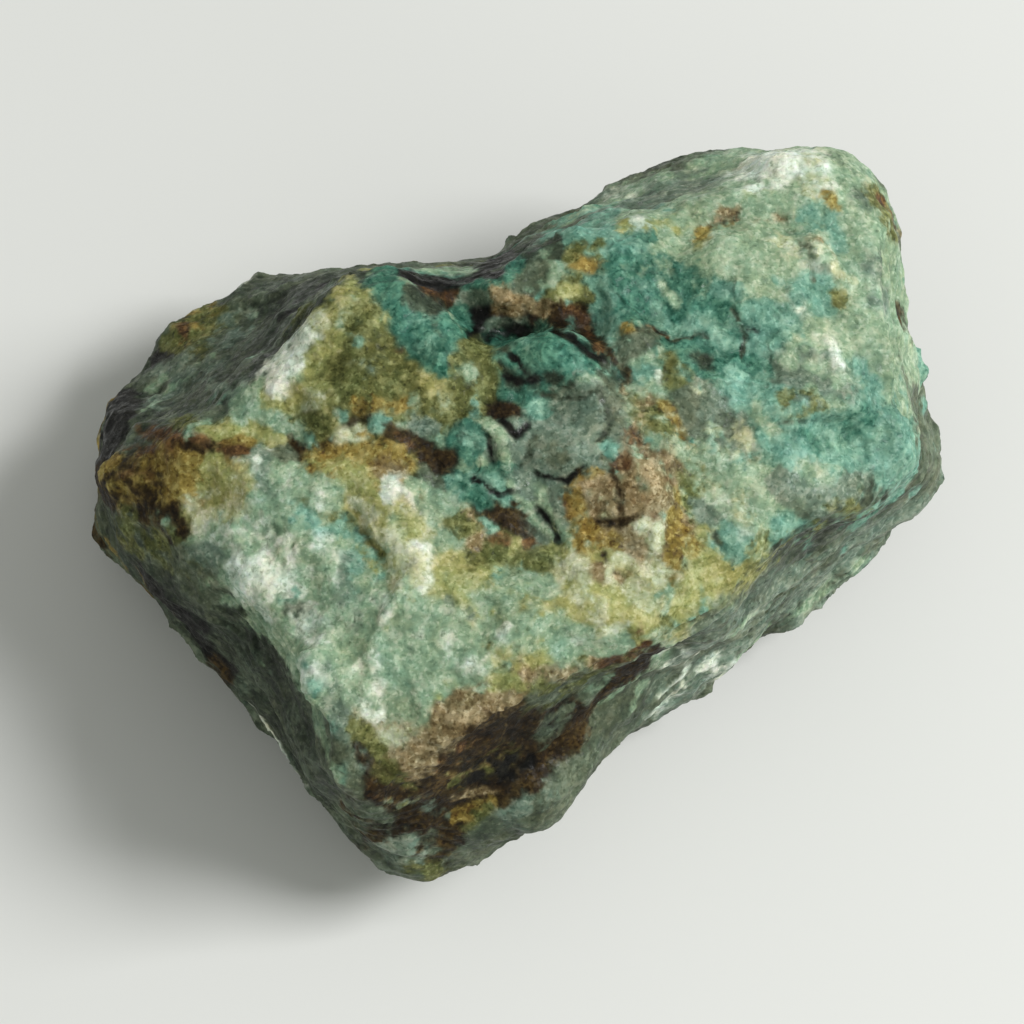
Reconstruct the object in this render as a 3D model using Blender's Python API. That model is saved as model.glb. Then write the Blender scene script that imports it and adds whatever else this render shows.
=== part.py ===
"""Rough chrysocolla specimen: one broken lump of copper rock, resting on its flat underside.

Everything is in millimetres until the end: +X towards the sharp right-hand corner, +Y towards the back
ledge, +Z up. The lump is laid out as columns of corners round its side, closed by an upper face that runs
through spot heights and by a flat underside. Then the surface is given its pits, lumps and ledges.
"""

import math

import bmesh
import bpy
from mathutils import Vector, geometry, noise

MM = 0.001

# overall size
LENGTH = 55.5
WIDTH = 47.5
HEIGHT = 27.0

# surface: even grain the relief is modelled on, then the number of facets kept
GRAIN = 0.75
TRIANGLES = 11000

# relief of the crusted upper face, and the size of its lumps and chips
CRUST_RELIEF = 0.5
CRUST_LUMP = 5.5
CRUST_CHIP = 3.4

# relief of the broken sides, the size of their scars, and how often their layers step
WALL_RELIEF = 0.75
WALL_SCAR = 12.0
WALL_CHIP = 5.0
LAYERS_PER_MM = 1.1

COLOUR = (0.16, 0.28, 0.20, 1.0)
ROUGHNESS = 0.62

# One row for each corner of the outline, seen from above and counter-clockwise from the left nose:
# rim of the upper face, shoulder, foot, underside.
COLUMNS = [
    ((-26.5, 0.5, 17.5), (-27.0, 1.0, 13.0), (-27.0, 1.5, 6.0), (-25.5, 1.5, -1.0)),
    ((-22.5, -3.5, 20.0), (-25.5, -3.5, 14.0), (-25.0, -3.0, 6.5), (-23.5, -3.5, -1.0)),
    ((-18.5, -7.0, 21.5), (-22.0, -7.5, 14.0), (-21.5, -6.5, 7.0), (-20.0, -6.5, -1.0)),
    ((-15.5, -10.5, 22.3), (-17.5, -10.5, 15.0), (-17.5, -10.5, 7.0), (-16.0, -11.0, -1.0)),
    ((-13.5, -14.5, 22.3), (-14.5, -14.5, 14.0), (-14.0, -14.0, 6.0), (-12.5, -13.5, -1.0)),
    ((-11.5, -19.0, 21.2), (-12.5, -18.5, 13.0), (-11.5, -18.0, 6.0), (-10.0, -17.0, -1.0)),
    ((-9.5, -21.0, 19.6), (-9.5, -21.5, 12.0), (-8.5, -21.5, 6.0), (-7.0, -20.0, -1.0)),
    ((-8.0, -20.0, 20.2), (-6.0, -22.5, 9.5), (-5.0, -23.0, 5.0), (-3.5, -21.5, -1.0)),
    ((-5.0, -18.0, 22.0), (-2.0, -21.0, 11.0), (-1.5, -21.5, 5.0), (-1.0, -20.0, -1.0)),
    ((-1.5, -16.0, 22.6), (2.0, -18.0, 13.0), (2.5, -19.5, 6.0), (3.0, -18.5, -1.0)),
    ((3.0, -13.0, 22.8), (5.0, -14.0, 17.0), (6.0, -14.5, 8.0), (7.5, -13.5, -1.0)),
    ((7.5, -11.5, 23.2), (9.0, -11.5, 19.0), (10.0, -12.0, 8.0), (11.5, -11.5, -1.0)),
    ((11.5, -9.0, 23.6), (13.0, -9.0, 19.5), (15.0, -8.0, 9.0), (17.0, -6.5, -1.0)),
    ((15.5, -4.5, 24.0), (17.5, -4.5, 18.0), (19.5, -4.5, 8.0), (21.5, -3.0, -1.0)),
    ((20.5, -2.0, 23.6), (23.0, -1.0, 17.0), (24.5, 0.0, 8.0), (26.0, 2.0, -1.0)),
    ((24.5, 0.5, 22.0), (27.0, 2.5, 16.0), (28.5, 4.0, 9.0), (27.5, 5.5, -1.0)),
    ((23.5, 4.5, 23.5), (26.5, 6.5, 16.0), (28.0, 8.0, 8.0), (26.5, 9.0, -1.0)),
    ((23.0, 9.5, 24.3), (25.5, 11.5, 17.0), (27.0, 12.0, 8.0), (25.5, 13.0, -1.0)),
    ((22.5, 14.0, 24.3), (25.0, 16.0, 18.0), (26.0, 16.5, 8.0), (24.5, 16.5, -1.0)),
    ((22.0, 19.0, 23.0), (24.5, 19.5, 18.0), (24.5, 20.0, 8.0), (23.0, 19.0, -1.0)),
    ((19.5, 20.5, 22.8), (22.0, 23.0, 18.5), (22.0, 22.5, 8.0), (20.5, 20.5, -1.0)),
    ((16.0, 20.0, 23.0), (17.5, 23.5, 18.0), (18.5, 23.5, 8.0), (17.5, 21.0, -1.0)),
    ((13.0, 18.0, 24.0), (15.0, 24.0, 16.0), (14.5, 24.0, 8.0), (14.0, 21.5, -1.0)),
    ((9.0, 16.0, 25.0), (10.0, 23.5, 14.5), (10.0, 23.5, 8.0), (10.0, 20.5, -1.0)),
    ((5.5, 15.5, 25.0), (7.0, 22.0, 14.0), (6.5, 21.5, 8.0), (6.5, 19.0, -1.0)),
    ((1.5, 13.5, 25.0), (2.5, 19.5, 14.0), (2.5, 19.0, 7.0), (3.0, 17.0, -1.0)),
    ((-1.5, 12.0, 24.0), (-1.0, 16.5, 14.0), (-1.0, 16.5, 7.0), (-0.5, 15.5, -1.0)),
    ((-6.0, 11.5, 24.5), (-6.0, 17.0, 12.0), (-6.0, 17.0, 6.0), (-5.0, 15.5, -1.0)),
    ((-10.5, 11.5, 24.5), (-10.0, 17.0, 12.0), (-10.5, 18.0, 8.0), (-9.5, 16.0, -1.0)),
    ((-12.0, 10.5, 24.5), (-13.5, 14.5, 14.0), (-14.5, 17.5, 9.0), (-13.5, 15.5, -1.0)),
    ((-14.0, 7.5, 24.0), (-16.5, 11.5, 14.0), (-19.0, 15.5, 9.0), (-18.0, 14.0, -1.0)),
    ((-17.0, 4.5, 23.0), (-19.5, 8.5, 14.0), (-23.0, 13.5, 8.5), (-21.5, 12.0, -1.0)),
    ((-19.5, 2.5, 21.5), (-21.5, 6.5, 14.0), (-24.0, 11.0, 8.0), (-23.0, 9.5, -1.0)),
    ((-23.5, 3.0, 18.5), (-24.5, 4.5, 15.0), (-26.5, 7.5, 9.0), (-25.0, 6.5, -1.0)),
]

# Heights within the rim: nose, crest between the two upper facets, lower facet, plateau.
SPOTS = [
    (-22.5, 0.0, 20.5),
    (-16.0, 1.0, 23.0),
    (-12.5, -0.5, 24.2),
    (-9.0, -3.5, 25.0),
    (-8.0, -7.5, 24.8),
    (-6.0, -11.0, 24.2),
    (0.0, -11.5, 24.4),
    (6.0, -10.0, 24.0),
    (-13.5, -7.5, 23.0),
    (-9.5, -14.5, 22.9),
    (-3.0, -14.0, 23.2),
    (-11.5, 5.5, 25.2),
    (-8.5, 2.0, 25.5),
    (-4.5, 8.5, 25.2),
    (2.0, 5.0, 26.0),
    (-2.0, -2.5, 25.4),
    (4.5, 10.0, 26.0),
    (9.5, 3.0, 26.3),
    (12.5, 10.0, 26.4),
    (12.0, -3.0, 25.0),
    (17.5, 4.0, 25.6),
    (17.5, 13.0, 25.8),
    (18.5, 0.5, 24.8),
]

# Later breaks across the lump: a point of each and the way it faces.
BREAKS = [
    ((23.0, 21.0, 9.0), (0.62, 0.66, -0.42)),
    ((27.5, 7.0, 7.0), (0.86, 0.12, -0.50)),
    ((8.0, 23.0, 6.0), (-0.25, 0.86, -0.45)),
    ((-22.0, 14.5, 6.0), (-0.66, 0.70, -0.28)),
    ((-26.8, 2.0, 6.0), (-0.90, 0.05, -0.42)),
    ((-15.0, -13.5, 4.0), (-0.68, -0.60, -0.42)),
    ((9.0, -12.5, 5.0), (0.52, -0.70, -0.50)),
]

# Marks of the upper face: name, path in plan, half width, height above (+) or cut into (-) the face.
MARKS = [
    ("open_recess", [(-3.4, 9.0), (-1.8, 8.2), (0.0, 8.4), (2.2, 9.4), (4.1, 9.1)], 1.5, -1.1),
    ("vein_below_recess", [(4.1, 9.1), (4.9, 7.2), (6.0, 4.8)], 1.2, -0.8),
    ("rib_above_recess", [(-2.2, 10.6), (0.4, 10.2), (3.0, 10.9)], 1.3, 0.5),
    ("copper_knob", [(-0.8, 5.2), (1.6, 5.9), (4.0, 4.6)], 2.0, 0.9),
    ("ringed_hollow", [(-3.3, 0.2), (-1.4, 2.1), (1.0, -0.5)], 3.4, -0.5),
    ("ring_middle", [(-1.6, 1.6), (-1.0, 1.9)], 1.3, 0.6),
    ("crystal_patch", [(4.5, -0.1), (6.9, -2.4), (8.1, -5.5)], 2.6, 0.6),
    ("groove_before_lobe", [(10.5, 14.9), (13.1, 15.5), (16.2, 16.2)], 1.2, -0.7),
    ("yellow_vein", [(-11.5, -3.6), (-11.0, -4.5), (-8.8, -8.1)], 1.1, -0.7),
    ("grey_hollow", [(-1.8, -5.8), (-0.1, -5.1)], 1.8, -0.6),
    ("field_hollow", [(9.0, 10.0), (12.3, 8.4), (14.2, 5.9)], 1.8, -0.5),
    ("step_foot", [(16.2, 1.4), (18.3, 1.1), (20.8, 1.7)], 1.3, -0.6),
    ("step_crest", [(16.2, 3.6), (18.3, 3.3), (20.8, 4.0)], 1.5, 0.4),
    ("edge_knob", [(-13.3, -13.6), (-13.1, -13.9)], 1.4, 0.4),
    ("crest_pit_left", [(-16.5, 0.6), (-14.5, 0.2)], 1.2, -0.6),
    ("crest_pit_right", [(-12.0, 0.2), (-10.6, 1.0)], 1.1, -0.5),
    ("nose_lump", [(-20.5, 0.6), (-18.8, -0.6)], 1.4, 0.6),
]


def break_off(bm, point, facing):
    """Takes away what stands beyond a plane and closes the break."""
    everything = bm.verts[:] + bm.edges[:] + bm.faces[:]
    plane = dict(plane_co=point, plane_no=facing, clear_outer=True)
    cut = bmesh.ops.bisect_plane(bm, geom=everything, dist=0.001, **plane)
    rim = [item for item in cut["geom_cut"] if isinstance(item, bmesh.types.BMEdge)]
    bmesh.ops.holes_fill(bm, edges=rim, sides=0)


def lump_of_columns():
    """Closed faceted lump: walls between columns, upper face through the spot heights, flat underside."""
    bm = bmesh.new()
    rings = [[bm.verts.new(corner) for corner in ring] for ring in zip(*COLUMNS)]
    count = len(COLUMNS)
    for upper, lower in zip(rings, rings[1:]):
        for i in range(count):
            j = (i + 1) % count
            bm.faces.new((upper[i], lower[i], lower[j], upper[j]))
    bm.faces.new(reversed(rings[-1]))
    inner = [bm.verts.new(spot) for spot in SPOTS]
    points = rings[0] + inner
    plan = [point.co.to_2d() for point in points]
    found = geometry.delaunay_2d_cdt(plan, [], [list(range(count))], 1, 0.001)
    for face in found[2]:
        bm.faces.new([points[found[3][i][0]] for i in face])
    for point, facing in BREAKS:
        break_off(bm, point, facing)
    mesh = bpy.data.meshes.new("chrysocolla_specimen")
    bm.to_mesh(mesh)
    bm.free()
    return mesh


def apply_modifiers(obj):
    """Makes the modified surface the object's own."""
    graph = bpy.context.evaluated_depsgraph_get()
    made = bpy.data.meshes.new_from_object(obj.evaluated_get(graph))
    obj.modifiers.clear()
    obj.data = made


def distance_to_path(point, path):
    """How far a point of the plan is from a path of straight stretches."""
    nearest = 1.0e9
    for start, end in zip(path, path[1:]):
        a, b = Vector(start), Vector(end)
        along = max(0.0, min(1.0, (point - a).dot(b - a) / (b - a).length_squared))
        nearest = min(nearest, (point - a - (b - a) * along).length)
    return nearest


def marks_at(position):
    """Height of the named marks over this point of the upper face."""
    wobble = noise.noise_vector(position / 2.2) * 0.7
    plan = (position + wobble).to_2d()
    height = 0.0
    for _, path, half_width, rise in MARKS:
        away = distance_to_path(plan, path) / half_width
        height += rise / (1.0 + away**4)
    return height


def chips(position, size):
    """Shallow bowls meeting in sharp crests, the scars of breaking: 0 in a bowl, near 1 on a crest."""
    nearest = noise.voronoi(position / size)[0][0]
    return min(1.0, nearest * nearest * 1.6)


def crust_at(position):
    """Lumpy mineral crust of the upper face."""
    lumps = noise.fractal(position / CRUST_LUMP, 1.0, 2.1, 3)
    return CRUST_RELIEF * (1.3 * lumps + chips(position, CRUST_CHIP) - 0.4)


def wall_at(position):
    """Broken sides: broad scars, and here and there steps along the layers of the rock."""
    drawn = Vector((position.x, position.y, position.z * 1.5))
    drawn += noise.noise_vector(position / 7.0) * 2.0
    elsewhere = drawn + Vector((40.0, 0.0, 0.0))
    scars = 1.1 * chips(drawn, WALL_SCAR) + 0.45 * chips(elsewhere, WALL_CHIP)
    wavy = position.x * 0.15 + 3.0 * noise.noise(position / 8.0)
    layers = math.sin(position.z * LAYERS_PER_MM + wavy)
    shown = max(0.0, min(1.0, 0.5 + 2.0 * noise.noise(position / 11.0)))
    return WALL_RELIEF * (scars - 0.7 + 0.3 * layers * shown)


def roughen(mesh):
    """Moves each point along its normal by the relief of the face it is on."""
    moved = []
    for vertex in mesh.vertices:
        position = vertex.co.copy()
        upward = max(0.0, min(1.0, (vertex.normal.z - 0.35) / 0.3))
        top = crust_at(position) + marks_at(position) if upward > 0.0 else 0.0
        side = wall_at(position) if upward < 1.0 else 0.0
        height = top * upward + side * (1.0 - upward)
        moved.append(position + vertex.normal * height)
    for vertex, position in zip(mesh.vertices, moved):
        vertex.co = position


def flatten_underside(mesh):
    """Cuts the lowest skin away level and closes the cut with one flat face."""
    bm = bmesh.new()
    bm.from_mesh(mesh)
    everything = bm.verts[:] + bm.edges[:] + bm.faces[:]
    level = dict(plane_co=(0.0, 0.0, 0.0), plane_no=(0.0, 0.0, 1.0), clear_inner=True)
    cut = bmesh.ops.bisect_plane(bm, geom=everything, dist=0.01, **level)
    rim = [item for item in cut["geom_cut"] if isinstance(item, bmesh.types.BMEdge)]
    bmesh.ops.contextual_create(bm, geom=rim)
    bmesh.ops.recalc_face_normals(bm, faces=bm.faces)
    bm.to_mesh(mesh)
    bm.free()


def fit(mesh):
    """Scales the lump to its overall size, on the middle of its underside, in metres."""
    low = [min(v.co[i] for v in mesh.vertices) for i in range(3)]
    high = [max(v.co[i] for v in mesh.vertices) for i in range(3)]
    for vertex in mesh.vertices:
        for i, size in enumerate((LENGTH, WIDTH, HEIGHT)):
            share = (vertex.co[i] - low[i]) / (high[i] - low[i])
            vertex.co[i] = (share - (0.0 if i == 2 else 0.5)) * size * MM


def stone_material():
    material = bpy.data.materials.new("chrysocolla_rock")
    material.use_nodes = True
    shader = material.node_tree.nodes["Principled BSDF"]
    shader.inputs["Base Color"].default_value = COLOUR
    shader.inputs["Roughness"].default_value = ROUGHNESS
    shader.inputs["Metallic"].default_value = 0.0
    return material


def main():
    for old in list(bpy.data.objects):
        bpy.data.objects.remove(old)
    obj = bpy.data.objects.new("chrysocolla_specimen", lump_of_columns())
    bpy.context.scene.collection.objects.link(obj)

    weld = obj.modifiers.new("even_grain", "REMESH")
    weld.mode = "VOXEL"
    weld.voxel_size = GRAIN
    soften = obj.modifiers.new("worn_edges", "SMOOTH")
    soften.factor = 0.5
    soften.iterations = 3
    apply_modifiers(obj)
    roughen(obj.data)

    thin = obj.modifiers.new("facets", "DECIMATE")
    thin.ratio = TRIANGLES / (2.0 * len(obj.data.polygons))
    thin.use_collapse_triangulate = True
    apply_modifiers(obj)
    flatten_underside(obj.data)
    fit(obj.data)
    obj.data.materials.append(stone_material())


main()
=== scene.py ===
"""Looks of the chrysocolla specimen: one broken lump of copper rock with a mineral crust on its upper face.

The stone is one finer copy of the CAD solid, worked on in millimetres. MARKS lists its patches and veins, and
a few
painted shadows, shade and glints: each is one mineral along a path of photograph pixels (1024 x 1024),
carried onto the stone along the camera's own rays. SIDE_MARKS does the same for the sides that the camera
doesn't see, by bearing and height.
Noise makes every edge ragged, each mineral has its own relief, and the material adds what is finer still,
with painted light on high places and painted shade in hollows.
"""

import itertools
import math

import bpy
import numpy as np
from mathutils import Euler, Matrix, Vector
from mathutils.bvhtree import BVHTree


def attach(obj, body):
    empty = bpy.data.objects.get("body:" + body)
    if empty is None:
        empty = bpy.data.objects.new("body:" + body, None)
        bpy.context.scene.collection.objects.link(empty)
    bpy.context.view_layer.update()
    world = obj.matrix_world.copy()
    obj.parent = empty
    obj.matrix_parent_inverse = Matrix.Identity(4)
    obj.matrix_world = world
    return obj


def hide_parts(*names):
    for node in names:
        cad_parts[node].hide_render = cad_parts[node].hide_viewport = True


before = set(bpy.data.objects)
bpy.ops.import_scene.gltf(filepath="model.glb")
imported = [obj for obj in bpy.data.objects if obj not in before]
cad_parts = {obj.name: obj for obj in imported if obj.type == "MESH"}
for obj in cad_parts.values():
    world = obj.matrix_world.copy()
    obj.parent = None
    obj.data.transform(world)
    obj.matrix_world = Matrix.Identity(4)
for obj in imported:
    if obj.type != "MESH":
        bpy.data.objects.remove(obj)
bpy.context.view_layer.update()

NODE = "chrysocolla_specimen"
MM = 0.001

# camera: bearing and height of the photograph's view, and the part of the photograph that it shows
AZIMUTH = math.radians(-14.0)
ELEVATION = math.radians(72.0)
TARGET = Vector((-0.00071, -0.00068, 0.012))
DISTANCE = 0.300
PIXELS_PER_M = 6000.0
MIDDLE_PIXEL = (655.0, 645.0)
SHOWN_PIXELS = 400.0
SENSOR = 36.0

# mesh: voxel of the fine copy in mm, smoothing that takes the CAD facets away, and the most triangles kept
VOXEL = 0.21
SOFTEN = 3
MOST_TRIANGLES = 192000

# light: a soft window and the room's own light; floor: its half side in m and its tones (sRGB)
WINDOW_PLACE = (0.50, 0.05, 0.60)
WINDOW_SIZE = 0.30
WINDOW_POWER = 5.4
ROOM_TONE = (0.98, 1.0, 0.95, 1.0)
ROOM_STRENGTH = 0.44
FLOOR_REACH = 4.0
FLOOR_TONES = ((213, 214, 211), (219, 220, 217), (225, 226, 223))

# how a face looks towards the camera, from 1 (straight at it) to -1, where the marks by pixel fade in,
# where the marks by bearing fade out, and where the guessed sides' rougher relief fades out
FRONT_MARKS_FROM = (-0.32, -0.12)
SIDE_MARKS_UNTIL = (0.0, 0.2)
ROUGHER_UNTIL = (-0.15, 0.1)

# share of the depth along the view that counts in a mark's width, so that it isn't cut short on a steep face
VIEW_DEPTH = 0.4

# material: height in mm, up or down, at which a place gets its fullest painted light (up) or painted shade
# (down), and the shine all over
FULL_SHADE_HEIGHT = 0.25
SHINE = 0.16

# mineral: dark, middle and light tone (sRGB), roughness, then mm of lumps, crystal grains and crumbs
MINERALS = {
    "rock": ((62, 73, 56), (93, 106, 83), (130, 143, 119), 0.50, 0.04, 0.05, 0.035),
    # slate is rock's darker tone: dark rock layers, and in some marks painted shade
    "slate": ((34, 43, 31), (62, 73, 56), (98, 111, 90), 0.48, 0.03, 0.035, 0.03),
    "grey": ((83, 102, 83), (117, 138, 117), (164, 180, 159), 0.45, 0.10, 0.04, 0.02),
    # quartz: white grains and veins, and in a few marks on the right wall painted glints
    "quartz": ((164, 180, 154), (228, 241, 218), (248, 255, 244), 0.34, 0.03, 0.08, 0.03),
    "cream": ((168, 174, 120), (212, 219, 174), (242, 248, 216), 0.50, 0.06, 0.06, 0.04),
    "mint": ((119, 148, 117), (157, 186, 150), (204, 224, 192), 0.48, 0.07, 0.05, 0.04),
    "turquoise": ((81, 130, 110), (119, 169, 146), (160, 207, 182), 0.50, 0.12, 0.03, 0.04),
    "teal": ((33, 88, 69), (71, 126, 105), (109, 166, 140), 0.48, 0.14, 0.02, 0.05),
    "lime": ((130, 134, 72), (172, 174, 106), (212, 212, 152), 0.60, 0.05, 0.05, 0.06),
    "ochre": ((92, 70, 27), (148, 127, 60), (198, 180, 106), 0.66, 0.04, 0.05, 0.08),
    "olive": ((66, 71, 31), (107, 112, 61), (156, 161, 104), 0.64, 0.05, 0.04, 0.08),
    "tan": ((100, 82, 49), (152, 135, 95), (210, 195, 155), 0.55, 0.04, 0.10, 0.05),
    "rust": ((50, 32, 17), (90, 64, 37), (140, 107, 67), 0.66, 0.02, 0.03, 0.10),
    "brown": ((22, 14, 4), (50, 38, 18), (88, 72, 38), 0.62, 0.02, 0.03, 0.10),
    # black: glossy black mineral, and in some marks painted shadow
    "black": ((4, 4, 4), (14, 14, 11), (38, 38, 31), 0.42, 0.02, 0.04, 0.05),
}
NAMES = list(MINERALS)
RELIEF_SIZES = np.array([row[4:] for row in MINERALS.values()])
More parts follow.
